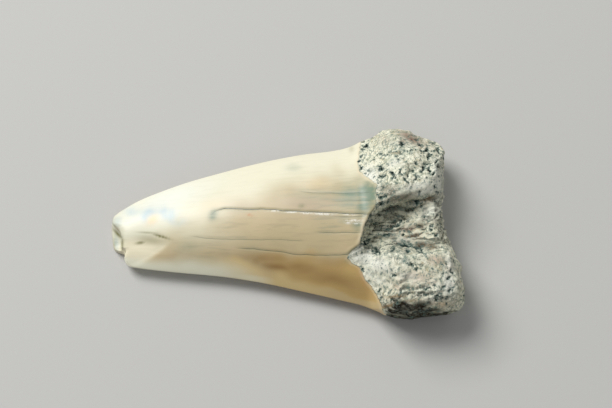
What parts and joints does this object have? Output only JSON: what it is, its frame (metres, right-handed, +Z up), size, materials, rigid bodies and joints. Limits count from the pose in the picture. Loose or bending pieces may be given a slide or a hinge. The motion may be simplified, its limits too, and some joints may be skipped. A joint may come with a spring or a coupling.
{
  "type": "fossil shark tooth",
  "caption": "Fossil shark tooth with a smooth, cracked enamel crown, a broken tip and a rough, pitted two-lobed root, lying on its side.",
  "frame": {"origin": "centre of the bounding box's bottom, on the surface that the tooth lies on", "axes": "+X along the tooth from the broken tip to the root, +Y across it, +Z up through the lingual face"},
  "size_m": [0.0566, 0.0312, 0.012],
  "materials": {
    "tooth": "polished on the crown, matt and pitted on the root"
  },
  "bodies": {
    "root": {"tooth": "tooth"}
  },
  "joints": []
}
